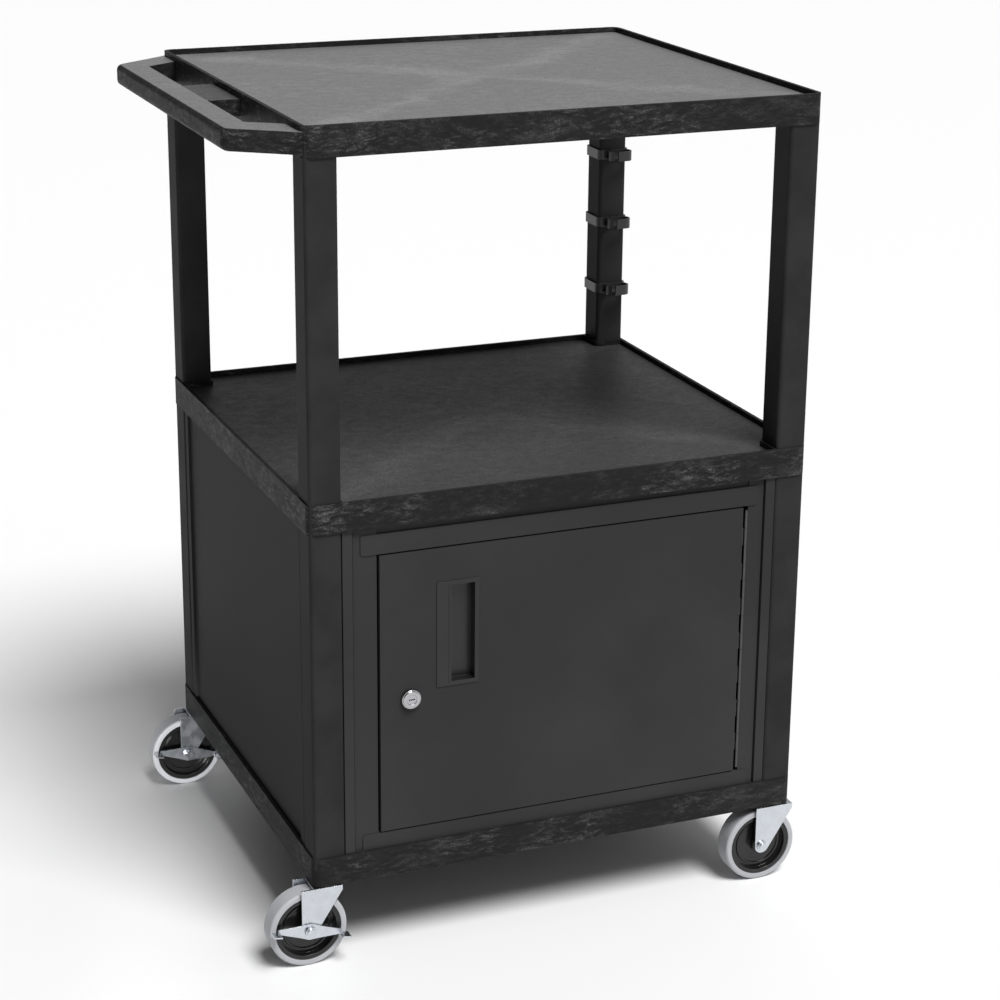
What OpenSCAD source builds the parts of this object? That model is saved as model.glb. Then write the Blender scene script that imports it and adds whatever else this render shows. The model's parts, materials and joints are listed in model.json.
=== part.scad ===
// Rolling presentation cart: three moulded shelves on square legs, a push
// handle moulded into the top shelf, a locking steel cabinet and four casters.
// +Z is up and the front, with the door, faces -Y. The origin is on the floor
// under the middle of the whole cart.

/* [Cart] */
// Height of the top shelf's rim above the floor
cart_h = 1067; // [1000:1:1100]
// Height of the middle shelf's rim above the floor
middle_h = 612; // [560:1:640]
// Height of the bottom shelf's rim above the floor
bottom_h = 147; // [147:1:170]
// Length of each shelf along the front
shelf_w = 673; // [620:1:720]
// Depth of each shelf from front to back
shelf_d = 605; // [520:1:640]

/* [Shelves] */
// Height of each shelf's outer skirt
skirt_h = 38; // [36:1:50]
// Thickness of the skirt and the rim
skirt_t = 5; // [4:0.5:6]
// Height of the retaining rim above the tray
rim_h = 7; // [4:0.5:10]
// Thickness of the tray
tray_t = 6; // [5:0.5:8]
// Radius of the shelf's four corners
corner_r = 12; // [10:1:16]
// Thickness of the ribs under the tray
rib_t = 4; // [3:0.5:6]
// Depth of the ribs under the tray
rib_h = 13; // [8:1:14]

/* [Handle] */
// How far the handle stands out from the shelf
handle_reach = 78; // [75:1:100]
// Height of the handle's section
handle_h = 27; // [22:1:30]
// Width of the grip
grip_w = 36; // [28:1:38]
// Width of the two arms
arm_w = 36; // [28:1:40]
// Shift of each arm's outer end towards the middle
arm_slant = 54; // [30:1:60]
// Width of the bridge between the two hand holes
bridge_w = 118; // [80:1:140]
// Radius of the handle's outer bends
bend_r = 18; // [10:1:24]
// Radius of the hand holes' corners
hole_r = 8; // [5:1:12]

/* [Legs] */
// Leg width along the front
leg_w = 41; // [38:1:46]
// Leg depth from front to back
leg_d = 44; // [40:1:48]
// Radius of the leg's edges
leg_r = 5; // [4:1:12]
// Wall thickness of the leg
leg_t = 3; // [2:0.5:4]
// Gap between the leg's outer faces and the skirt's
leg_inset = 2; // [1.5:0.5:3]
// Depth of a leg socket
socket_d = 16; // [12:1:16]

/* [Cabinet] */
// Thickness of the cabinet's steel sheet
sheet_t = 1.5; // [1:0.1:2]
// Width of the visible strip beside each leg
strip_w = 12.7; // [8:0.1:14]
// Depth of the step from the strip to the panel
step_d = 3.5; // [2:0.5:4]
// Width of the groove between the strip and the stile
groove_w = 1.5; // [1:0.5:3]
// Depth of that groove behind the stile's face
groove_d = 5; // [4:0.5:7]
// Width of the stile on the door's lock side
stile_w = 32; // [24:1:36]
// Width of the stile on the door's hinge side
hinge_stile_w = 23; // [20:1:30]
// Visible height of the top and bottom rails
rail_h = 26; // [20:1:30]
// Gap above and below the door
door_gap = 2; // [2:0.5:4]
// Gap beside the door on the lock side
side_gap = 3; // [2:0.5:5]
// Depth of the folded door
door_depth = 12; // [10:1:14]
// Radius of the rails' inner corners
rail_r = 4; // [2:1:6]

/* [Door fittings] */
// Width of the pull's plate
pull_w = 56; // [50:1:60]
// Height of the pull's plate
pull_h = 139; // [120:1:150]
// Distance from the door's left edge to the pull
pull_left = 74; // [60:1:90]
// Radius of the lock's chrome ring
lock_r = 12.5; // [10:0.5:13]
// Distance from the door's left edge to the lock's centre
lock_left = 39; // [36:1:44]
// Radius of the hinge's barrel
barrel_r = 2.1; // [1.8:0.1:2.4]
// Length of one hinge knuckle
knuckle_l = 24; // [18:1:30]

/* [Casters] */
// Radius of the wheel
wheel_r = 50.8; // [48:0.1:51]
// Width of the tyre
tyre_w = 28; // [24:1:30]
// Radius of the hub under the tyre
hub_r = 43; // [38:1:45]
// Distance from the swivel axis back to the axle
trail = 23; // [16:1:26]
// Distance from the shelf's ends to the swivel axis
swivel_x = 17; // [17:1:20]
// Distance from the shelf's front and back to the swivel axis
swivel_y = 19; // [19:1:22]
// Radius of the axle bolt
axle_r = 4; // [3.5:0.1:4.5]
// Tilt of the brake levers when the brake is off
lever_tilt = 10; // [0:1:12]

/* [Cable clips] */
// Height of each clip's band
clip_h = 14; // [10:1:16]
// Thickness of the clip's band
clip_t = 2.5; // [2:0.5:3]
// Distance from the top rim down to the highest clip
clip_drop = 176; // [120:1:200]
// Distance between clips
clip_pitch = 99; // [80:1:110]

/* [Hidden] */
$fn = 48;

cut = 1;                    // how far a cutting tool runs past a face
slip = 0.3;                 // gap round a part that drops into a pocket
run = 0.06;                 // radial gap of a running fit

// Heights
tray_top = skirt_h - rim_h;               // tray surface above the skirt's foot
hollow_h = tray_top - tray_t;             // hollow under the tray
top_z = cart_h - skirt_h;
middle_z = middle_h - skirt_h;
bottom_z = bottom_h - skirt_h;

// Sockets
wall_in = 2.5;                            // socket wall on its two inner sides
block_w = leg_inset + leg_w + slip + wall_in;
block_d = leg_inset + leg_d + slip + wall_in;

// Caster stack, seen from the swivel axis
plate_t = 2.5;
wheel_gap = 2;
fork_half = tyre_w / 2 + wheel_gap + plate_t;
lever_t = 2.2;
tab_reach = 12;
head_h = 4.5;
nut_h = 5;
hex_r = 7.2;
crown_top = bottom_z - 2.1;
crown_bottom = crown_top - 2.6;
crown_front = 21;                         // crown's reach ahead of the swivel axis
crown_back = trail + 10;
race_r = 14;
race_top = bottom_z + 6;
kingpin_r = 5;

// The cart's own corner is moved so that the origin lies under its middle
lever_front = fork_half + slip + lever_t + tab_reach - swivel_y;
nut_back = fork_half + nut_h + 1 - swivel_y;
wheel_right = shelf_w - swivel_x - trail + wheel_r;
left_x = (handle_reach - max(shelf_w, wheel_right)) / 2;
front_y = (lever_front - shelf_d - nut_back) / 2;

// Cabinet layout, measured from the shelf's front left corner
leg_right = leg_inset + leg_w;
leg_back = leg_inset + leg_d;
strip_face = leg_inset + 1;
panel_face = strip_face + step_d;
wrap_x = leg_right + slip + sheet_t;
wrap_y = leg_back + slip + sheet_t;
strip_x = leg_right + slip + strip_w;
strip_y = leg_back + slip + strip_w;
left_edge = strip_x + stile_w;
right_edge = shelf_w - strip_x - hinge_stile_w;
panel_foot = bottom_h - rim_h;
panel_head = middle_z + 10;
wrap_foot = bottom_h + slip;
wrap_head = middle_z - slip;
rail_top = middle_z - 9;
rail_bottom = panel_foot + 1;
door_low = rail_bottom + rail_h + door_gap;
door_high = rail_top - rail_h - door_gap;
door_left = left_edge + side_gap;
hinge_x = right_edge - barrel_r - 0.5;
hinge_y = panel_face - 0.3;
door_right = hinge_x - barrel_r - 3.2;
door_face = panel_face - 2.5;
rail_face = panel_face - sheet_t;
leaf_t = 1.2;
leaf_w = 7;
hinge_low = door_low + 4;
hinge_high = door_high - 4;
knuckles = floor((hinge_high - hinge_low) / knuckle_l);
pin_r = 1.1;
rivet_r = 1.5;
rivet_count = 5;
lock_x = door_left + lock_left;
lock_z = (door_low + door_high) / 2 - 8;
lock_body_r = lock_r - 3;
plug_r = 6.5;
cam_y = door_face + door_depth + 1.5;
cam_t = 2;
cam_reach = lock_left + side_gap + 8;
pull_x = door_left + pull_left;
pull_z = door_high - 44 - pull_h;
pull_lip_left = 18;
pull_lip = 4;
pull_depth = 14;
flange_w = 20;
screw_r = 2;
screw_ys = [120, shelf_d - 120];

// ---------- shared shapes ----------

// Rectangle from the origin with round corners
module rounded_rect(w, d, r) {
    translate([r, 0]) square([w - 2 * r, d]);
    translate([0, r]) square([w, d - 2 * r]);
    for (x = [r, w - r], y = [r, d - r]) translate([x, y]) circle(r);
}

// The same, stood up to a height
module rounded_block(w, d, h, r) {
    linear_extrude(h) rounded_rect(w, d, r);
}

// A box given by its lowest and highest corners
module span(low, high) {
    translate(low) cube(high - low);
}

// Moves from the cart's own corner to the shared frame
module placed(z = 0) {
    translate([left_x, front_y, z]) children();
}

// Puts a child at one of the shelf's corners, mirrored to match
module at_corner(right, rear) {
    translate([right * shelf_w, rear * shelf_d, 0])
        mirror([right, 0, 0]) mirror([0, rear, 0]) children();
}

// Sheet metal folded square along a list of points on its middle line
module folded(path, h) {
    linear_extrude(h)
        for (i = [0 : len(path) - 2]) {
            a = path[i];
            b = path[i + 1];
            low = [min(a[0], b[0]), min(a[1], b[1])];
            high = [max(a[0], b[0]), max(a[1], b[1])];
            translate(low - [sheet_t, sheet_t] / 2)
                square(high - low + [sheet_t, sheet_t]);
        }
}

// A cylinder lying along Y, from y on
module rod_y(r, l, y = 0) {
    translate([0, y, 0]) rotate([-90, 0, 0]) cylinder(h = l, r = r);
}

// ---------- shelves ----------

// Skirt, tray and ribs of one shelf, with its foot at z = 0
module shelf_body() {
    inner_w = shelf_w - 2 * skirt_t;
    inner_d = shelf_d - 2 * skirt_t;
    inner_r = corner_r - skirt_t;
    difference() {
        rounded_block(shelf_w, shelf_d, skirt_h, corner_r);
        translate([skirt_t, skirt_t, tray_top])
            rounded_block(inner_w, inner_d, rim_h + cut, inner_r);
        translate([skirt_t, skirt_t, -cut])
            rounded_block(inner_w, inner_d, hollow_h + cut, inner_r);
    }
    rib_z = hollow_h - rib_h;
    for (i = [1 : 3])
        translate([i * shelf_w / 4 - rib_t / 2, skirt_t, rib_z])
            cube([rib_t, inner_d, rib_h]);
    for (i = [1 : 3])
        translate([skirt_t, i * shelf_d / 4 - rib_t / 2, rib_z])
            cube([inner_w, rib_t, rib_h]);
}

// Solid block that holds a leg in the front left corner
module corner_block(h) {
    r = leg_r + slip + wall_in;
    linear_extrude(h) intersection() {
        rounded_rect(shelf_w, shelf_d, corner_r);
        union() {
            square([block_w - r, block_d]);
            square([block_w, block_d - r]);
            translate([block_w - r, block_d - r]) circle(r);
        }
    }
}

// The pocket that a leg drops into
module leg_pocket() {
    translate([leg_inset - slip, leg_inset - slip, 0])
        rounded_block(leg_w + 2 * slip, leg_d + 2 * slip, socket_d + cut, leg_r + slip);
}

module four_corners() {
    for (right = [0, 1], rear = [0, 1]) at_corner(right, rear) children();
}

// Point where a fillet of radius r, laid in a corner at p between the
// directions a and b, leaves the side that runs along a
function fillet_start(p, a, b, r) = p + a * r / tan(acos(a * b) / 2);

// Centre of that fillet
function fillet_centre(p, a, b, r) =
    p + (a + b) / norm(a + b) * r / sin(acos(a * b) / 2);

// Half of the handle's outline, from its middle to the front arm
module handle_half() {
    bend = [-handle_reach, arm_slant];
    root = [0, 3];
    along = (root - bend) / norm(root - bend);
    up = [0, 1];
    polygon([
        [skirt_t - 1, corner_r], [skirt_t - 1, root[1] + 3], root,
        fillet_start(bend, along, up, bend_r), fillet_start(bend, up, along, bend_r),
        [-handle_reach, shelf_d / 2 + cut], [skirt_t - 1, shelf_d / 2 + cut]
    ]);
    translate(fillet_centre(bend, along, up, bend_r)) circle(bend_r);
}

// The front hand hole, between the arm, the grip and the bridge
module hand_hole() {
    x = -handle_reach + grip_w;
    slope = (arm_slant - 3) / handle_reach;
    shelf_y = 3 + arm_w * 1.6;
    low = [x, shelf_y - slope * x];
    high = [x, (shelf_d - bridge_w) / 2];
    along = [1, -slope] / norm([1, -slope]);
    polygon([
        fillet_start(low, along, [0, 1], hole_r), [0, shelf_y], [0, high[1]],
        fillet_start(high, [1, 0], [0, -1], hole_r), fillet_start(high, [0, -1], [1, 0], hole_r),
        fillet_start(low, [0, 1], along, hole_r)
    ]);
    translate(fillet_centre(low, along, [0, 1], hole_r)) circle(hole_r);
    translate(fillet_centre(high, [1, 0], [0, -1], hole_r)) circle(hole_r);
}

// The handle, with the bridge between its hand holes a little thinner
module handle() {
    difference() {
        linear_extrude(handle_h) difference() {
            union() {
                handle_half();
                translate([0, shelf_d]) mirror([0, 1]) handle_half();
            }
            hand_hole();
            translate([0, shelf_d]) mirror([0, 1]) hand_hole();
        }
        translate([grip_w - handle_reach, (shelf_d - bridge_w) / 2 - cut, 0]) {
            translate([0, 0, handle_h - 1])
                cube([handle_reach - grip_w, bridge_w + 2 * cut, 1 + cut]);
            translate([0, 0, -cut])
                cube([handle_reach - grip_w, bridge_w + 2 * cut, 6]);
        }
    }
}

module top_shelf() {
    color([0.17, 0.17, 0.18]) placed(top_z) {
        difference() {
            union() {
                shelf_body();
                four_corners() corner_block(hollow_h + tray_t / 2);
                translate([0, 0, tray_top - handle_h]) handle();
            }
            translate([0, 0, -cut]) four_corners() leg_pocket();
        }
    }
}

module middle_shelf() {
    color([0.17, 0.17, 0.18]) placed(middle_z) difference() {
        union() {
            shelf_body();
            four_corners() corner_block(skirt_h);
        }
        translate([0, 0, -cut]) four_corners() leg_pocket();
        translate([0, 0, skirt_h - socket_d]) four_corners() leg_pocket();
    }
}

module bottom_shelf() {
    web_h = skirt_h - socket_d;
    color([0.17, 0.17, 0.18]) placed(bottom_z) difference() {
        union() {
            shelf_body();
            four_corners() corner_block(skirt_h);
        }
        translate([0, 0, web_h]) four_corners() leg_pocket();
        four_corners() translate([swivel_x, swivel_y, -cut]) {
            cylinder(h = web_h + 2 * cut, r = kingpin_r + 0.1);
            cylinder(h = race_top - bottom_z + cut, r = race_r + 0.5);
        }
        for (y = screw_ys, x = [screw_x(0), screw_x(1)])
            translate([x, y, hollow_h - cut]) cylinder(h = tray_t + 2 * cut, r = screw_r + 0.05);
    }
}

// ---------- legs ----------

// A hollow square leg in one corner, between two heights
module leg(right, rear, low, high) {
    color([0.15, 0.15, 0.16]) placed() at_corner(right, rear)
        translate([leg_inset, leg_inset, low]) difference() {
            rounded_block(leg_w, leg_d, high - low, leg_r);
            translate([leg_t, leg_t, -cut])
                rounded_block(leg_w - 2 * leg_t, leg_d - 2 * leg_t, high - low + 2 * cut,
                    leg_r - leg_t);
        }
}

module upper_leg(right, rear) {
    leg(right, rear, middle_h - socket_d, top_z + socket_d);
}

module lower_leg(right, rear) {
    leg(right, rear, bottom_h - socket_d, middle_z + socket_d);
}

// ---------- cabinet ----------

// X of the screws that hold a side panel's flange to the tray
function screw_x(right) = right == 0
    ? panel_face + flange_w - 7
    : shelf_w - panel_face - flange_w + 7;

// Left side panel: a sheet that wraps both legs and forms the stiles
module side_panel(stile) {
    m = sheet_t / 2;
    back = shelf_d;
    inner = strip_x + stile;
    groove_x = strip_x + groove_w + m;
    groove_y = panel_face + groove_d - m;
    front_flange = [
        [inner - m, panel_face + door_depth - 2], [inner - m, panel_face + m],
        [groove_x, panel_face + m], [groove_x, groove_y], [strip_x - m, groove_y]
    ];
    wrap = [
        [strip_x - m, groove_y], [strip_x - m, strip_face + m],
        [wrap_x - m, strip_face + m], [wrap_x - m, wrap_y - m],
        [strip_face + m, wrap_y - m], [strip_face + m, strip_y - m],
        [panel_face + m, strip_y - m]
    ];
    wall = [[panel_face + m, strip_y - m], [panel_face + m, back - strip_y + m]];
    rear_flange = [
        [inner - m, back - panel_face - m], [groove_x, back - panel_face - m],
        [groove_x, back - groove_y], [strip_x - m, back - groove_y]
    ];
    difference() {
        union() {
            translate([0, 0, panel_foot]) folded(front_flange, panel_head - panel_foot);
            translate([0, 0, wrap_foot]) folded(wrap, wrap_head - wrap_foot);
            translate([0, back, wrap_foot]) mirror([0, 1, 0])
                folded(wrap, wrap_head - wrap_foot);
            translate([0, 0, panel_foot]) folded(wall, panel_head - panel_foot);
            translate([0, 0, panel_foot]) folded(rear_flange, panel_head - panel_foot);
            span([panel_face, strip_y + 20, panel_foot],
                [panel_face + flange_w, back - strip_y - 20, panel_foot + sheet_t]);
        }
        for (y = screw_ys) translate([screw_x(0), y, panel_foot - cut])
            cylinder(h = sheet_t + 2 * cut, r = screw_r + 0.1);
    }
}

module cabinet_left_panel() {
    color([0.16, 0.16, 0.17]) placed() side_panel(stile_w);
}

module cabinet_right_panel() {
    color([0.16, 0.16, 0.17]) placed() difference() {
        translate([shelf_w, 0, 0]) mirror([1, 0, 0]) side_panel(hinge_stile_w);
        frame_rivet_holes();
    }
}

module cabinet_back_panel() {
    y = shelf_d - panel_face - 2 * sheet_t;
    back_x = strip_x + groove_w + sheet_t + 1;
    color([0.16, 0.16, 0.17]) placed()
        span([back_x, y, panel_foot], [shelf_w - back_x, y + sheet_t, panel_head]);
}

// Front face of a rail; square_from is where its square-cornered part starts
module rail_face_plate(low, high, square_from) {
    x = strip_x + 11;
    w = shelf_w - 2 * x;
    h = high - low;
    translate([x, rail_face, low]) translate([0, sheet_t, 0]) rotate([90, 0, 0])
        linear_extrude(sheet_t) {
            rounded_rect(w, h, rail_r);
            translate([0, square_from]) square([w, h / 2]);
        }
}

// Folds of a rail between the two stiles, seen from the side
module rail_folds(edge, outward) {
    x_low = left_edge + 0.5;
    x_high = right_edge - 0.5;
    inner = edge - outward * sheet_t;
    span([x_low, rail_face + sheet_t, min(edge, inner)],
        [x_high, panel_face + door_depth - 2, max(edge, inner)]);
}

module cabinet_top_rail() {
    header_y = panel_face + sheet_t;
    color([0.16, 0.16, 0.17]) placed() {
        rail_face_plate(rail_top - rail_h, rail_top, rail_h / 2);
        rail_folds(rail_top - rail_h, -1);
        span([left_edge + 0.5, header_y, rail_top - rail_h / 2],
            [right_edge - 0.5, header_y + sheet_t, panel_head]);
        span([left_edge + 0.5, rail_face + sheet_t, rail_top - sheet_t],
            [right_edge - 0.5, header_y, rail_top]);
    }
}

module cabinet_bottom_rail() {
    color([0.16, 0.16, 0.17]) placed() {
        rail_face_plate(rail_bottom, rail_bottom + rail_h, 0);
        rail_folds(rail_bottom + rail_h, 1);
        span([left_edge + 0.5, rail_face + sheet_t, rail_bottom],
            [right_edge - 0.5, panel_face + 40, rail_bottom + sheet_t]);
    }
}

module cabinet_screws() {
    color([0.7, 0.7, 0.72]) placed()
        for (y = screw_ys, x = [screw_x(0), screw_x(1)])
            translate([x, y, panel_foot + sheet_t]) {
                translate([0, 0, -sheet_t - tray_t]) cylinder(h = sheet_t + tray_t, r = screw_r);
                cylinder(h = 2, r = screw_r * 2);
            }
}

// ---------- door ----------

// Height of one rivet of the hinge
function rivet_z(i) = hinge_low + (i + 0.5) * (hinge_high - hinge_low) / rivet_count;

module frame_rivet_holes() {
    for (i = [0 : rivet_count - 1])
        translate([hinge_x + barrel_r - cut, hinge_y + barrel_r + leaf_w / 2 + 1, rivet_z(i)])
            rotate([0, 90, 0]) cylinder(h = 6, r = rivet_r + 0.05);
}

module cabinet_door() {
    w = door_right - door_left;
    h = door_high - door_low;
    color([0.16, 0.16, 0.17]) placed() difference() {
        translate([door_left, door_face, door_low]) difference() {
            cube([w, door_depth, h]);
            translate([sheet_t, sheet_t, sheet_t])
                cube([w - 2 * sheet_t, door_depth, h - 2 * sheet_t]);
        }
        translate([lock_x, 0, lock_z]) rod_y(lock_body_r + 0.1, door_face + door_depth);
        span([pull_x + pull_lip_left - 1, door_face - cut, pull_z + pull_lip - 1],
            [pull_x + pull_w - pull_lip + 1, door_face + sheet_t + cut,
            pull_z + pull_h - pull_lip + 1]);
        for (i = [0 : rivet_count - 1])
            translate([door_right - sheet_t - cut, hinge_y + barrel_r + leaf_w / 2 + 1, rivet_z(i)])
                rotate([0, 90, 0]) cylinder(h = 6, r = rivet_r + 0.05);
    }
}

// Flush pull: a plate with a finger cup behind it
module door_pull() {
    cup_low = [pull_lip_left, 0, pull_lip];
    cup_high = [pull_w - pull_lip, pull_depth, pull_h - pull_lip];
    lip_t = 1.2;
    wall = 1.5;
    color([0.12, 0.12, 0.13]) placed() translate([pull_x, door_face, pull_z]) difference() {
        union() {
            translate([0, -lip_t, 0]) cube([pull_w, lip_t, pull_h]);
            span(cup_low, cup_high);
        }
        span(cup_low + [wall, -lip_t - cut, wall], cup_high - [wall, wall, wall]);
        span([pull_lip_left - 3, -lip_t - cut, pull_lip], [pull_lip_left - 2, 0.5 - lip_t, pull_h - pull_lip]);
    }
}

// Knuckles of one leaf: every second length of the barrel
module barrel(first) {
    for (i = [first : 2 : knuckles - 1])
        translate([hinge_x, hinge_y, hinge_low + i * knuckle_l + 0.15]) difference() {
            cylinder(h = knuckle_l - 0.3, r = barrel_r);
            translate([0, 0, -cut]) cylinder(h = knuckle_l + 2 * cut, r = pin_r + run);
        }
}

// Short web that joins a leaf to its knuckles, beside the pin
module knuckle_webs(first, x_low, x_high) {
    for (i = [first : 2 : knuckles - 1]) {
        z = hinge_low + i * knuckle_l + 0.15;
        span([x_low, hinge_y + barrel_r - 0.9, z],
            [x_high, hinge_y + barrel_r + 0.4, z + knuckle_l - 0.3]);
    }
}

// Flat of a leaf, drilled for its rivets
module leaf_plate(x) {
    low_y = hinge_y + barrel_r + 0.4;
    difference() {
        span([x, low_y, hinge_low], [x + leaf_t, low_y + leaf_w, hinge_low + knuckles * knuckle_l]);
        for (i = [0 : rivet_count - 1])
            translate([x - cut, hinge_y + barrel_r + leaf_w / 2 + 1, rivet_z(i)])
                rotate([0, 90, 0]) cylinder(h = leaf_t + 2 * cut, r = rivet_r + 0.05);
    }
}

module hinge_frame_leaf() {
    x = right_edge - leaf_t;
    color([0.45, 0.45, 0.47]) placed() {
        leaf_plate(x);
        barrel(0);
        knuckle_webs(0, hinge_x, x + leaf_t);
    }
}

module hinge_door_leaf() {
    color([0.45, 0.45, 0.47]) placed() {
        leaf_plate(door_right);
        barrel(1);
        knuckle_webs(1, door_right, hinge_x);
    }
}

module hinge_pin() {
    color([0.6, 0.6, 0.62]) placed() translate([hinge_x, hinge_y, hinge_low - 1])
        cylinder(h = knuckles * knuckle_l + 2, r = pin_r);
}

// A row of rivets through a leaf at x and the sheet beside it
module rivet_row(x, leaf_side) {
    grip = leaf_t + sheet_t;
    for (i = [0 : rivet_count - 1])
        translate([x, hinge_y + barrel_r + leaf_w / 2 + 1, rivet_z(i)]) mirror([leaf_side, 0, 0])
            rotate([0, 90, 0]) {
                cylinder(h = grip, r = rivet_r);
                translate([0, 0, -0.8]) cylinder(h = 0.8, r = rivet_r * 1.7);
                translate([0, 0, grip]) cylinder(h = 0.8, r = rivet_r * 1.5);
            }
}

module hinge_frame_rivets() {
    color([0.6, 0.6, 0.62]) placed() rivet_row(right_edge - leaf_t, 0);
}

module hinge_door_rivets() {
    color([0.6, 0.6, 0.62]) placed() rivet_row(door_right + leaf_t, 1);
}

// ---------- lock ----------

lock_proud = 7;
lock_back = door_depth - 1;

// Puts a child on the lock's axis, with y = 0 at the door's front face
module on_lock() {
    placed() translate([lock_x, door_face, lock_z]) children();
}

module lock_barrel() {
    color([0.8, 0.8, 0.82]) on_lock() difference() {
        union() {
            rod_y(lock_body_r, lock_back + 1, -1);
            rod_y(lock_r, lock_proud - 1.5, -lock_proud + 1.5);
            rod_y(lock_r - 1.5, 1.5, -lock_proud);
        }
        rod_y(plug_r + run, lock_proud + lock_back + 2 * cut, -lock_proud - cut);
    }
}

module lock_nut() {
    color([0.7, 0.7, 0.72]) on_lock() translate([0, sheet_t, 0]) rotate([-90, 0, 0])
        difference() {
            cylinder(h = 4, r = lock_r + 1, $fn = 6);
            translate([0, 0, -cut]) cylinder(h = 4 + 2 * cut, r = lock_body_r + 0.05);
        }
}

module lock_plug() {
    slot = [8, 2.5, 2.2];
    color([0.78, 0.78, 0.8]) on_lock() difference() {
        union() {
            rod_y(plug_r, lock_proud - 0.6 + lock_back + 1, -lock_proud + 0.6);
            translate([-3, lock_back, -3]) cube([6, 1.5 + cam_t, 6]);
        }
        translate([-slot[0] / 2, -lock_proud - cut, -slot[2] / 2])
            cube([slot[0], slot[1] + 1.6, slot[2]]);
        rod_y(1.6, 12, lock_back - 6);
    }
}

module lock_cam() {
    color([0.65, 0.65, 0.67]) placed() translate([lock_x, cam_y, lock_z]) difference() {
        union() {
            rod_y(8, cam_t);
            translate([-6, 0, -cam_reach]) cube([12, cam_t, cam_reach]);
        }
        translate([-3.05, -cut, -3.05]) cube([6.1, cam_t + 2 * cut, 6.1]);
    }
}

module lock_cam_screw() {
    color([0.65, 0.65, 0.67]) placed() translate([lock_x, cam_y + cam_t, lock_z]) {
        rod_y(4.5, 2);
        rod_y(1.5, 8, -8);
    }
}

// ---------- cable clips ----------

// A band that snaps round the rear right leg, with a cable loop in front of it
module cable_clip(level) {
    gap = slip;
    t = clip_t;
    loop_w = 34;
    loop_d = 24;
    low = cart_h - clip_drop - level * clip_pitch - clip_h / 2;
    leg_x = shelf_w - leg_right;
    leg_y = shelf_d - leg_back;
    color([0.2, 0.2, 0.21]) placed(low) linear_extrude(clip_h) {
        difference() {
            translate([leg_x - gap - t, leg_y - gap - t])
                rounded_rect(leg_w + 2 * (gap + t), leg_d + 2 * (gap + t), leg_r + gap + t);
            translate([leg_x - gap, leg_y - gap])
                rounded_rect(leg_w + 2 * gap, leg_d + 2 * gap, leg_r + gap);
            translate([leg_x + leg_w - 8, leg_y + leg_d * 0.35]) square([20, leg_d]);
        }
        translate([leg_x + 8, leg_y - gap - loop_d]) difference() {
            rounded_rect(loop_w, loop_d - t / 2, loop_d / 2 - t / 2);
            translate([t, t]) rounded_rect(loop_w - 2 * t, loop_d - 2.5 * t, loop_d / 2 - 1.5 * t);
            translate([loop_w / 2 - 12, -t]) square([5, 4 * t]);
        }
    }
}

// ---------- casters ----------

// Puts a child on a swivel axis; right and rear pick the corner
module at_caster(right, rear) {
    x = right == 1 ? shelf_w - swivel_x : swivel_x;
    y = rear == 1 ? shelf_d - swivel_y : swivel_y;
    placed() translate([x, y, 0]) children();
}

module at_axle(right, rear) {
    at_caster(right, rear) translate([-trail, 0, wheel_r]) children();
}

module caster_stems() {
    color([0.66, 0.68, 0.7]) for (right = [0, 1], rear = [0, 1]) at_caster(right, rear) {
        translate([0, 0, crown_bottom - 2.2]) cylinder(h = 1.9, r = 8);
        translate([0, 0, crown_bottom - 1]) cylinder(h = bottom_h + 4 - crown_bottom, r = kingpin_r);
        translate([0, 0, crown_top + 0.4]) cylinder(h = race_top - crown_top - 0.4, r = race_r);
    }
}

// Side view of a fork plate: a tapering tongue that ends round the axle
module fork_plate() {
    boss = 10;
    nose = [crown_front, crown_top - 6];
    axle = [-trail, wheel_r];
    reach = nose - axle;
    turn = atan2(reach[1], reach[0]) - acos(boss / norm(reach));
    tangent = axle + boss * [cos(turn), sin(turn)];
    translate([0, plate_t, 0]) rotate([90, 0, 0]) linear_extrude(plate_t) difference() {
        union() {
            polygon([
                [-crown_back, crown_top], [crown_front, crown_top], nose, tangent, axle,
                [-crown_back, wheel_r]
            ]);
            translate(axle) circle(boss);
        }
        translate(axle) circle(axle_r + run);
    }
}

module fork(right, rear) {
    color([0.72, 0.74, 0.77]) at_caster(right, rear) {
        translate([0, -fork_half, 0]) fork_plate();
        translate([0, fork_half - plate_t, 0]) fork_plate();
        difference() {
            span([-race_r - 3, -fork_half + plate_t, crown_bottom],
                [crown_front, fork_half - plate_t, crown_top]);
            translate([0, 0, crown_bottom - cut])
                cylinder(h = crown_top - crown_bottom + 2 * cut, r = kingpin_r + run);
        }
    }
}

// Room that the brake lever takes under the bolt's head, on the left casters
function lever_room(right) = right == 1 ? 0 : lever_t + 2 * slip;

module axle_bolt(right, rear) {
    head_y = -fork_half - lever_room(right);
    color([0.7, 0.71, 0.73]) at_axle(right, rear) {
        rod_y(axle_r, fork_half + nut_h + 1 - head_y, head_y);
        rod_y(hex_r, head_h - 1.5, head_y - head_h + 1.5);
        rod_y(hex_r - 2, 1.5, head_y - head_h);
    }
}

module axle_nut(right, rear) {
    color([0.7, 0.71, 0.73]) at_axle(right, rear) translate([0, fork_half, 0])
        rotate([-90, 0, 0]) difference() {
            cylinder(h = nut_h, r = hex_r, $fn = 6);
            translate([0, 0, -cut]) cylinder(h = nut_h + 2 * cut, r = axle_r + 0.05);
        }
}

// Half section of the hub, out from the axle; its second axis is the wheel's
module hub_section() {
    half = tyre_w / 2 - 1.5;
    boss_half = tyre_w / 2 + wheel_gap - slip;
    web_half = 5;
    bore = axle_r + run;
    translate([bore, -boss_half]) square([12 - bore, 2 * boss_half]);
    translate([bore, -web_half]) square([hub_r - bore - 1, 2 * web_half]);
    translate([29, -web_half - 2]) square([3, 2 * web_half + 4]);
    translate([hub_r - 6, -half]) square([6, 2 * half]);
}

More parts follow.
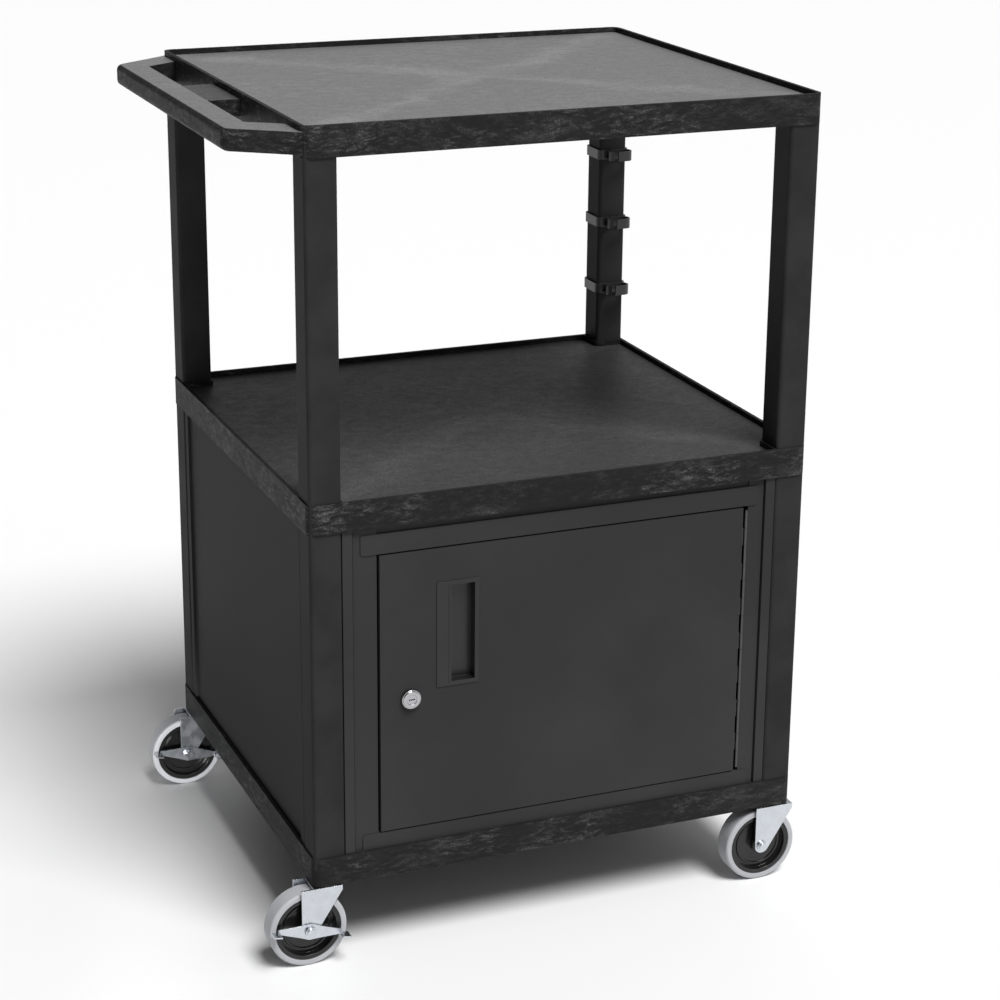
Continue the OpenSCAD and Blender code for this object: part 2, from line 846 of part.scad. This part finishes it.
module hub(right, rear) {
    color([0.1, 0.1, 0.11]) at_axle(right, rear) rotate([90, 0, 0])
        rotate_extrude($fn = 96) hub_section();
}

module tyre(right, rear) {
    shoulder = 3.5;
    color([0.66, 0.67, 0.7]) at_axle(right, rear) rotate([90, 0, 0])
        rotate_extrude($fn = 96) {
            translate([hub_r, -tyre_w / 2]) square([wheel_r - hub_r - shoulder, tyre_w]);
            translate([hub_r, -tyre_w / 2 + shoulder])
                square([wheel_r - hub_r, tyre_w - 2 * shoulder]);
            for (side = [-1, 1])
                translate([wheel_r - shoulder, side * (tyre_w / 2 - shoulder)]) circle(shoulder);
        }
}

// Bow-tie lever on the axle bolt, with a foot tab turned out at each end
module brake_lever(rear) {
    tip = 42;
    waist = 14;
    middle = 11;
    edge = 3;
    tab_l = 9;
    half = [[tip, edge], [waist, middle - 3], [0, middle]];
    outline = concat(half, [for (i = [1, 0]) [-half[i][0], half[i][1]]]);
    color([0.72, 0.74, 0.77]) at_axle(0, rear) rotate([0, lever_tilt, 0])
        translate([0, -fork_half - slip, 0]) {
            rotate([90, 0, 0]) linear_extrude(lever_t) difference() {
                polygon(concat(outline, [for (i = [4 : -1 : 0]) [outline[i][0], -outline[i][1]]]));
                circle(axle_r + run);
            }
            for (side = [-1, 1]) mirror([side < 0 ? 1 : 0, 0, 0])
                span([tip - 2, -lever_t - tab_reach, -edge], [tip + tab_l, 0, -edge + 2]);
        }
}

// ---------- every node ----------

top_shelf();
middle_shelf();
bottom_shelf();
upper_leg(0, 0);  // upper_leg_front_left
upper_leg(1, 0);  // upper_leg_front_right
upper_leg(0, 1);  // upper_leg_rear_left
upper_leg(1, 1);  // upper_leg_rear_right
lower_leg(0, 0);  // lower_leg_front_left
lower_leg(1, 0);  // lower_leg_front_right
lower_leg(0, 1);  // lower_leg_rear_left
lower_leg(1, 1);  // lower_leg_rear_right
cabinet_left_panel();
cabinet_right_panel();
cabinet_back_panel();
cabinet_top_rail();
cabinet_bottom_rail();
cabinet_screws();
cabinet_door();
door_pull();
hinge_frame_leaf();
hinge_door_leaf();
hinge_pin();
hinge_frame_rivets();
hinge_door_rivets();
lock_barrel();
lock_nut();
lock_plug();
lock_cam();
lock_cam_screw();
cable_clip(0);  // cable_clip_upper
cable_clip(1);  // cable_clip_middle
cable_clip(2);  // cable_clip_lower
caster_stems();
fork(0, 0);  // fork_front_left
fork(1, 0);  // fork_front_right
fork(0, 1);  // fork_rear_left
fork(1, 1);  // fork_rear_right
axle_bolt(0, 0);  // axle_bolt_front_left
axle_bolt(1, 0);  // axle_bolt_front_right
axle_bolt(0, 1);  // axle_bolt_rear_left
axle_bolt(1, 1);  // axle_bolt_rear_right
axle_nut(0, 0);  // axle_nut_front_left
axle_nut(1, 0);  // axle_nut_front_right
axle_nut(0, 1);  // axle_nut_rear_left
axle_nut(1, 1);  // axle_nut_rear_right
hub(0, 0);  // hub_front_left
hub(1, 0);  // hub_front_right
hub(0, 1);  // hub_rear_left
hub(1, 1);  // hub_rear_right
tyre(0, 0);  // tyre_front_left
tyre(1, 0);  // tyre_front_right
tyre(0, 1);  // tyre_rear_left
tyre(1, 1);  // tyre_rear_right
brake_lever(0);  // brake_lever_front_left
brake_lever(1);  // brake_lever_rear_left
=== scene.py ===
import json
import math

import bmesh
import bpy
from mathutils import Matrix, Vector

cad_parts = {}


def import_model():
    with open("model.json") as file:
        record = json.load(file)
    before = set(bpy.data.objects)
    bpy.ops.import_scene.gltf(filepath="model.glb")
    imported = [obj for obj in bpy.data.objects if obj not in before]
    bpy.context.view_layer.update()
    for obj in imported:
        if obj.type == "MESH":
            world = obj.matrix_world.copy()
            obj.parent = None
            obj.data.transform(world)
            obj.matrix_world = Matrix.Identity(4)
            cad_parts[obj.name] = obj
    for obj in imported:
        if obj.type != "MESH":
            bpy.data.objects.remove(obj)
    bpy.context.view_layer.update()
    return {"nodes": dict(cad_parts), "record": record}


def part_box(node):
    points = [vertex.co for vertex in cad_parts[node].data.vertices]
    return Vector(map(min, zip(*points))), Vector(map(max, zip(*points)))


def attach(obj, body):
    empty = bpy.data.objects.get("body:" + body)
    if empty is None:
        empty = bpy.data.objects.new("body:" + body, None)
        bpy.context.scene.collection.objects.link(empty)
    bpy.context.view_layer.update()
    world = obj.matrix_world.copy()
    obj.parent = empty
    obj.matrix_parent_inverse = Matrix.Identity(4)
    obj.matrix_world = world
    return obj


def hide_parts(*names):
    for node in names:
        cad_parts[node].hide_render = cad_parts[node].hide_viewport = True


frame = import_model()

nodes = frame["nodes"]
slots = {s["node"]: s["material_slot"] for s in frame["record"]["subparts"]}
bodies = {n: b for b, ns in frame["record"]["behaviour"]["bodies"].items() for n in ns}
MM = 0.001


# ---------- shader helpers ----------

class Shader:
    """A small wrapper that makes nodes and links in one call."""

    def __init__(self, name):
        self.mat = bpy.data.materials.new(name)
        self.mat.use_nodes = True
        self.tree = self.mat.node_tree
        self.bsdf = self.tree.nodes["Principled BSDF"]
        coords = self.tree.nodes.new("ShaderNodeTexCoord")
        self.place = coords.outputs["Object"]
        self.normal = coords.outputs["Normal"]

    def put(self, socket, value):
        if isinstance(value, bpy.types.NodeSocket):
            self.tree.links.new(value, socket)
        elif value is not None:
            if isinstance(value, (tuple, list)) and len(value) == 3 and socket.type == "RGBA":
                value = (*value, 1)
            socket.default_value = value

    def node(self, kind, out=0, settings=None, **inputs):
        n = self.tree.nodes.new("ShaderNode" + kind)
        for k, v in (settings or {}).items():
            setattr(n, k, v)
        for k, v in inputs.items():
            key = int(k[1:]) if k[0] == "i" and k[1:].isdigit() else k.replace("_", " ")
            self.put(n.inputs[key], v)
        return n.outputs[out]

    def math(self, op, a, b=0.5, c=0.5):
        return self.node("Math", settings={"operation": op}, i0=a, i1=b, i2=c)

    def noise(self, scale, detail=2.0, rough=0.5, distort=0.0, vector=None):
        return self.node("TexNoise", Vector=vector or self.place, Scale=scale, Detail=detail,
                         Roughness=rough, Distortion=distort)

    def remap(self, value, low, high, to_low, to_high):
        return self.node("MapRange", settings={"interpolation_type": "SMOOTHSTEP"},
                         Value=value, From_Min=low, From_Max=high, To_Min=to_low, To_Max=to_high)

    def mix(self, factor, a, b):
        n = self.tree.nodes.new("ShaderNodeMix")
        n.data_type = "RGBA"
        self.put(n.inputs[0], factor)
        self.put(n.inputs[6], a)
        self.put(n.inputs[7], b)
        return n.outputs[2]

    def bump(self, height, strength, distance, below=None):
        return self.node("Bump", Strength=strength, Distance=distance, Height=height, Normal=below)

    def finish(self, **values):
        for k, v in values.items():
            self.put(self.bsdf.inputs[k.replace("_", " ")], v)
        return self.mat


def grey(v, tint=(1, 1, 1)):
    return (v * tint[0], v * tint[1], v * tint[2])


def foam(name, dark, light, low, high, rough, grain, ior, crossed=False):
    """Structural foam: patches of short pale flow marks in a dark, finely grained skin."""
    s = Shader(name)
    warp = s.noise(6.0, 3.0, 0.6)
    leaning = s.node("Mapping", Vector=s.place, Rotation=(0.0, 0.75, 0.25), Scale=(0.8, 1.0, 2.6))
    pushed = s.node("VectorMath", settings={"operation": "MULTIPLY_ADD"}, i0=warp,
                    i1=(0.05, 0.05, 0.05), i2=leaning)
    patch = s.noise(9.0, 4.0, 0.6, 0.6)
    flake = s.noise(70.0, 10.0, 0.80, 0.3, pushed)
    streak = s.noise(13.0, 10.0, 0.76, 0.2, pushed)
    speck = s.noise(520.0, 2.0, 0.65)
    fine = s.noise(1500.0, 2.0, 0.5)
    veins = s.math("MULTIPLY", s.remap(patch, 0.42, 0.64, 0.10, 1.0),
                   s.remap(flake, low, high, 0.0, 1.0))
    amount = s.math("ADD", veins, s.math("MULTIPLY", s.remap(streak, 0.5, 0.74, 0.0, 1.0), 0.3))
    if crossed:
        sep = s.node("SeparateXYZ", Vector=s.place).node
        box_low, box_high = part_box("middle_shelf")
        across = []
        for axis in (0, 1):
            centre = (box_low[axis] + box_high[axis]) / 2
            half = (box_high[axis] - box_low[axis]) / 2
            offset = s.math("SUBTRACT", sep.outputs[axis], centre)
            across.append(s.math("ABSOLUTE", s.math("DIVIDE", offset, half)))
        off = s.math("SUBTRACT", across[0], across[1])
        wander = s.math("MULTIPLY", s.math("SUBTRACT", patch, 0.5), 0.5)
        off = s.math("ABSOLUTE", s.math("ADD", off, wander))
        band = s.remap(off, 0.16, 0.0, 0.0, 0.35)
        amount = s.math("ADD", s.math("MULTIPLY", amount, 0.22),
                        s.math("MULTIPLY", band, s.remap(streak, 0.35, 0.7, 0.3, 1.0)))
        amount = s.math("ADD", amount, 0.38)
    else:
        # Painted shade: fewer pale flow marks on upward faces darken the tops to offset the sun that
        # lights them from above.
        up = s.node("SeparateXYZ", Vector=s.normal).node.outputs[2]
        amount = s.math("MULTIPLY", amount, s.remap(up, 0.4, 0.9, 1.0, 0.35))
    amount = s.math("MULTIPLY", amount, s.remap(speck, 0.34, 0.64, 0.25, 1.25))
    colour = s.mix(amount, grey(dark), grey(light))
    bumped = s.bump(fine, grain, 0.0004)
    bumped = s.bump(speck, grain * 0.7, 0.0006, bumped)
    bumped = s.bump(flake, 0.18, 0.0010, bumped)
    return s.finish(Base_Color=colour, Normal=bumped, IOR=ior,
                    Roughness=s.remap(flake, 0.3, 0.7, rough + 0.08, rough - 0.08))


def plastic(name, colour, rough, grain=0.15, scale=900.0, variation=0.15, ior=1.45):
    """Smooth moulded plastic with a fine texture."""
    s = Shader(name)
    fine = s.noise(scale, 2.0, 0.5)
    broad = s.noise(14.0, 4.0, 0.6)
    tone = s.mix(s.remap(broad, 0.3, 0.7, 0.0, 1.0), tuple(c * (1 - variation) for c in colour),
                 tuple(c * (1 + variation) for c in colour))
    return s.finish(Base_Color=tone, Normal=s.bump(fine, grain, 0.0003), IOR=ior,
                    Roughness=s.remap(broad, 0.3, 0.7, rough - 0.04, rough + 0.05))


def powder(name, colour, rough):
    """Powder coat: orange peel over steel."""
    s = Shader(name)
    peel = s.noise(650.0, 2.0, 0.45)
    speck = s.noise(2600.0, 1.0, 0.5)
    dust = s.noise(3.0, 4.0, 0.55)
    tone = s.mix(s.remap(dust, 0.35, 0.7, 0.0, 1.0), tuple(c * 0.9 for c in colour),
                 tuple(c * 1.15 for c in colour))
    bumped = s.bump(speck, 0.12, 0.0002, s.bump(peel, 0.14, 0.0004))
    return s.finish(Base_Color=tone, Normal=bumped, IOR=1.07,
                    Roughness=s.remap(dust, 0.3, 0.7, rough - 0.03, rough + 0.04))


def metal(name, colour, rough, wear=0.08):
    """Plated or polished metal with fine irregular polish."""
    s = Shader(name)
    cloud = s.noise(60.0, 4.0, 0.6)
    fine = s.noise(1560.0, 2.0, 0.5)
    tone = s.mix(s.remap(cloud, 0.3, 0.7, 0.0, 1.0), tuple(c * 0.9 for c in colour), colour)
    return s.finish(Base_Color=tone, Metallic=1.0, Normal=s.bump(fine, 0.05, 0.0002),
                    Roughness=s.remap(cloud, 0.3, 0.7, rough, rough + wear))


# Foams give darkest and palest tone, range of the flow marks, roughness, grain and refractive
# index. The rest give colour and roughness, then the surface texture's strength and scale.
MATERIALS = {
    "shelf_foam": foam("shelf_foam", 0.016, 0.170, 0.46, 0.74, 0.46, 0.22, 1.12),
    "shelf_tray": foam("shelf_tray", 0.022, 0.092, 0.40, 0.75, 0.46, 0.32, 1.22, crossed=True),
    # Painted light: the top shelf's tray is a paler copy of shelf_tray whose extra brightness stands in
    # for the overhead light it catches. shelf_tray keeps the darker, shaded tone of the lower trays.
    "shelf_tray_painted_lit": foam("shelf_tray_painted_lit", 0.085, 0.300, 0.40, 0.75, 0.44, 0.32, 1.38,
                           crossed=True),
    # Painted sheen: a paler foam copy for the handle's sunk pad, standing in for the light it catches.
    "shelf_pad_painted_sheen": foam("shelf_pad_painted_sheen", 0.030, 0.130, 0.40, 0.75, 0.46, 0.32, 1.25, crossed=True),
    "leg_plastic": plastic("leg_plastic", grey(0.028), 0.46, 0.18, 1100.0, ior=1.08),
    "powder_steel": powder("powder_steel", grey(0.037), 0.46),
    "pull_plastic": plastic("pull_plastic", grey(0.010), 0.34, 0.05),
    "clip_plastic": plastic("clip_plastic", grey(0.022), 0.36, 0.08),
    "hub_plastic": plastic("hub_plastic", grey(0.010), 0.20, 0.02, 500.0),
    "tyre_rubber": plastic("tyre_rubber", grey(0.42, (0.97, 0.98, 1.03)), 0.5, 0.10, 700.0, 0.05),
    "zinc": metal("zinc", (0.62, 0.65, 0.69), 0.24),
    "hinge_steel": metal("hinge_steel", (0.10, 0.10, 0.105), 0.35),
    "chrome": metal("chrome", (0.46, 0.46, 0.48), 0.18, wear=0.05),
}


# ---------- geometry ----------

WELD = 0.02 * MM                    # points closer than this become one
FLAT_ANGLE = math.radians(0.6)      # faces nearer to level than this are merged
SHARP_ANGLE = math.radians(32)      # edges sharper than this are rounded
GRIP_ROUND = 7 * MM                 # rounding of the handle's outer edges
TRAY_DEPTH = (4 * MM, 9 * MM)       # range below the rim that holds a tray's surface
PAD_DEPTH = (0.5 * MM, 1.5 * MM)    # range below the handle's top that holds its pad


def new_piece(name, mesh, node):
    """Adds a mesh as a visible piece in a CAD node's body, slot and material."""
    obj = bpy.data.objects.new(name, mesh)
    bpy.context.scene.collection.objects.link(obj)
    mesh.materials.clear()
    mesh.materials.append(MATERIALS[slots[node]])
    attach(obj, bodies[node])
    return obj


def soften(bm, edges, width, segments, clamp=True):
    if edges:
        bmesh.ops.bevel(bm, geom=edges, offset=width, segments=segments, affect="EDGES",
                        profile=0.5, clamp_overlap=clamp, loop_slide=True)


def refine(node, width, segments, wide=()):
    """A cleaned copy of a CAD node with its sharp edges rounded."""
    bm = bmesh.new()
    bm.from_mesh(nodes[node].data)
    bmesh.ops.remove_doubles(bm, verts=bm.verts, dist=WELD)
    bmesh.ops.dissolve_limit(bm, angle_limit=FLAT_ANGLE, verts=bm.verts, edges=bm.edges)

    def sharp():
        return [e for e in bm.edges if e.is_manifold and e.calc_face_angle(0) > SHARP_ANGLE]

    for chosen, w, n in wide:
        soften(bm, [e for e in sharp() if chosen(e)], w, n, False)
    soften(bm, sharp(), width, segments)
    for f in bm.faces:
        f.smooth = True
    mesh = bpy.data.meshes.new(node + "_look")
    bm.to_mesh(mesh)
    bm.free()
    obj = new_piece(node + "_look", mesh, node)
    m = obj.modifiers.new("normals", "WEIGHTED_NORMAL")
    m.keep_sharp = True
    m.weight = 80
    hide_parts(node)
    return obj


shelf_low, shelf_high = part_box("bottom_shelf")
top_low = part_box("top_shelf")[0]
LEFT, FRONT = shelf_low.x, shelf_low.y
DEPTH = shelf_high.y - FRONT
REACH = LEFT - top_low.x
ARM_ROOT, ARM_SLANT = 3 * MM, 54 * MM    # depth of the handle's slanting arms at the shelf and the grip


def handle_edge(e):
    """True for a level edge on the part of the top shelf that forms the handle."""
    x = [v.co.x for v in e.verts]
    level = abs(e.verts[0].co.z - e.verts[1].co.z) < 0.5 * MM
    return level and min(x) < LEFT - 1.0 * MM and max(x) < LEFT + 0.5 * MM


def outside(v):
    """How far a point lies inside the handle's outer outline."""
    x, y = v.co.x - LEFT, v.co.y - FRONT
    slope = (ARM_SLANT - ARM_ROOT) / REACH
    line = ARM_ROOT - slope * x
    return min(x + REACH, (y - line) / math.hypot(1, slope), (DEPTH - y - line) / math.hypot(1, slope))


def outer_edge(e):
    """True for an edge that lies on the handle's outer outline."""
    return handle_edge(e) and max(outside(v) for v in e.verts) < 3.5 * MM


# Edge rounding in millimetres, by the start of a node's name; the first match counts
WIDTHS = {
    "top_shelf": 1.3, "middle_shelf": 1.3, "bottom_shelf": 1.3, "cabinet_door": 1.0,
    "door_pull": 0.5, "lock_barrel": 0.5, "lock_plug": 0.25, "hinge_pin": 0.2,
    "upper_leg": 0.6, "lower_leg": 0.6, "cabinet": 0.35, "hub": 0.6, "tyre": 0.6, "fork": 0.6,
    "brake": 0.6, "cable": 0.6, "": 0.25,
}
for name in sorted(nodes):
    width = next(w for start, w in WIDTHS.items() if name.startswith(start))
    wide = [(outer_edge, GRIP_ROUND, 5)] if name == "top_shelf" else ()
    refine(name, width * MM, 3 if width >= 1 else 2, wide)

# Tray floors get a second material: the top shelf's paler tray copy is painted light, and the lower
# shelves get the darker, shaded tray tone.
for name in ("top_shelf", "middle_shelf", "bottom_shelf"):
    mesh = bpy.data.objects[name + "_look"].data
    mesh.materials.append(MATERIALS["shelf_tray_painted_lit" if name == "top_shelf" else "shelf_tray"])
    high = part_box(name)[1].z
    for p in mesh.polygons:
        if p.normal.z > 0.9 and TRAY_DEPTH[0] < high - p.center.z < TRAY_DEPTH[1]:
            p.material_index = 1

# The bridge's sunk pad is paler than the handle around it: painted sheen for the light it catches
handle = bpy.data.objects["top_shelf_look"].data
flat = [p for p in handle.polygons if p.normal.z > 0.95 and p.center.x < LEFT]
handle_top = max(p.center.z for p in flat)
handle.materials.append(MATERIALS["shelf_pad_painted_sheen"])
for p in flat:
    if PAD_DEPTH[0] < handle_top - p.center.z < PAD_DEPTH[1]:
        p.material_index = 2


# ---------- floor, light and camera ----------

def floor():
    """A plain pale floor, far wider than the view."""
    bpy.ops.mesh.primitive_plane_add(size=60)
    obj = bpy.context.object
    obj.name = "floor"
    s = Shader("floor")
    s.finish(Base_Color=grey(0.86), Roughness=0.6)
    obj.data.materials.append(s.mat)


def sun(name, place, spread, strength):
    data = bpy.data.lights.new(name, "SUN")
    data.energy = strength
    data.angle = math.radians(spread)
    obj = bpy.data.objects.new(name, data)
    obj.rotation_euler = (-Vector(place)).to_track_quat("-Z", "Y").to_euler()
    bpy.context.scene.collection.objects.link(obj)


def spot(name, place, target, size, power, spread):
    """A soft square lamp whose beam is limited to the casters it is aimed at."""
    data = bpy.data.lights.new(name, "AREA")
    data.size = size
    data.energy = power
    data.spread = math.radians(spread)
    obj = bpy.data.objects.new(name, data)
    obj.location = place
    obj.rotation_euler = (Vector(target) - Vector(place)).to_track_quat("-Z", "Y").to_euler()
    bpy.context.scene.collection.objects.link(obj)


def world():
    """Even grey surroundings that fall off to dark on the cart's left."""
    w = bpy.data.worlds.new("studio")
    bpy.context.scene.world = w
    w.use_nodes = True
    t = w.node_tree
    back = t.nodes["Background"]
    coord = t.nodes.new("ShaderNodeTexCoord")
    parts = t.nodes.new("ShaderNodeSeparateXYZ")
    ramp = t.nodes.new("ShaderNodeMapRange")
    ramp.interpolation_type = "SMOOTHSTEP"
    ramp.inputs["From Min"].default_value = -0.7
    ramp.inputs["From Max"].default_value = 0.3
    ramp.inputs["To Min"].default_value = 0.03
    ramp.inputs["To Max"].default_value = 0.45
    t.links.new(coord.outputs["Generated"], parts.inputs[0])
    t.links.new(parts.outputs["X"], ramp.inputs["Value"])
    t.links.new(ramp.outputs[0], back.inputs["Color"])
    back.inputs["Strength"].default_value = 1.0


def camera():
    """A long lens from the front left, a little above the top shelf."""
    turn, dip, roll = math.radians(22.507), math.radians(-17.807), math.radians(0.514)
    forward = Vector((math.sin(turn) * math.cos(dip), math.cos(turn) * math.cos(dip), math.sin(dip)))
    right = Vector((math.cos(turn), -math.sin(turn), 0))
    up = right.cross(forward)
    r2 = right * math.cos(roll) + up * math.sin(roll)
    u2 = up * math.cos(roll) - right * math.sin(roll)
    data = bpy.data.cameras.new("camera")
    data.sensor_width = 36
    data.lens = 88.96
    data.shift_y = -0.05
    obj = bpy.data.objects.new("camera", data)
    place = Vector((shelf_low.x - 0.84906, shelf_low.y - 2.64226, 1.57424))
    obj.matrix_world = Matrix.Translation(place) @ Matrix((r2, u2, -forward)).transposed().to_4x4()
    bpy.context.scene.collection.objects.link(obj)
    bpy.context.scene.camera = obj


floor()
sun("sun", (0.18, -0.75, 1.30), 26, 3.4)
wheel = sum((Vector(c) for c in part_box("hub_rear_left")), Vector()) / 2
spot("caster_light", wheel + Vector((-0.45, -1.25, 0.02)), wheel, 0.15, 0.17, 14)
world()
camera()
bpy.context.scene.view_settings.view_transform = "Standard"
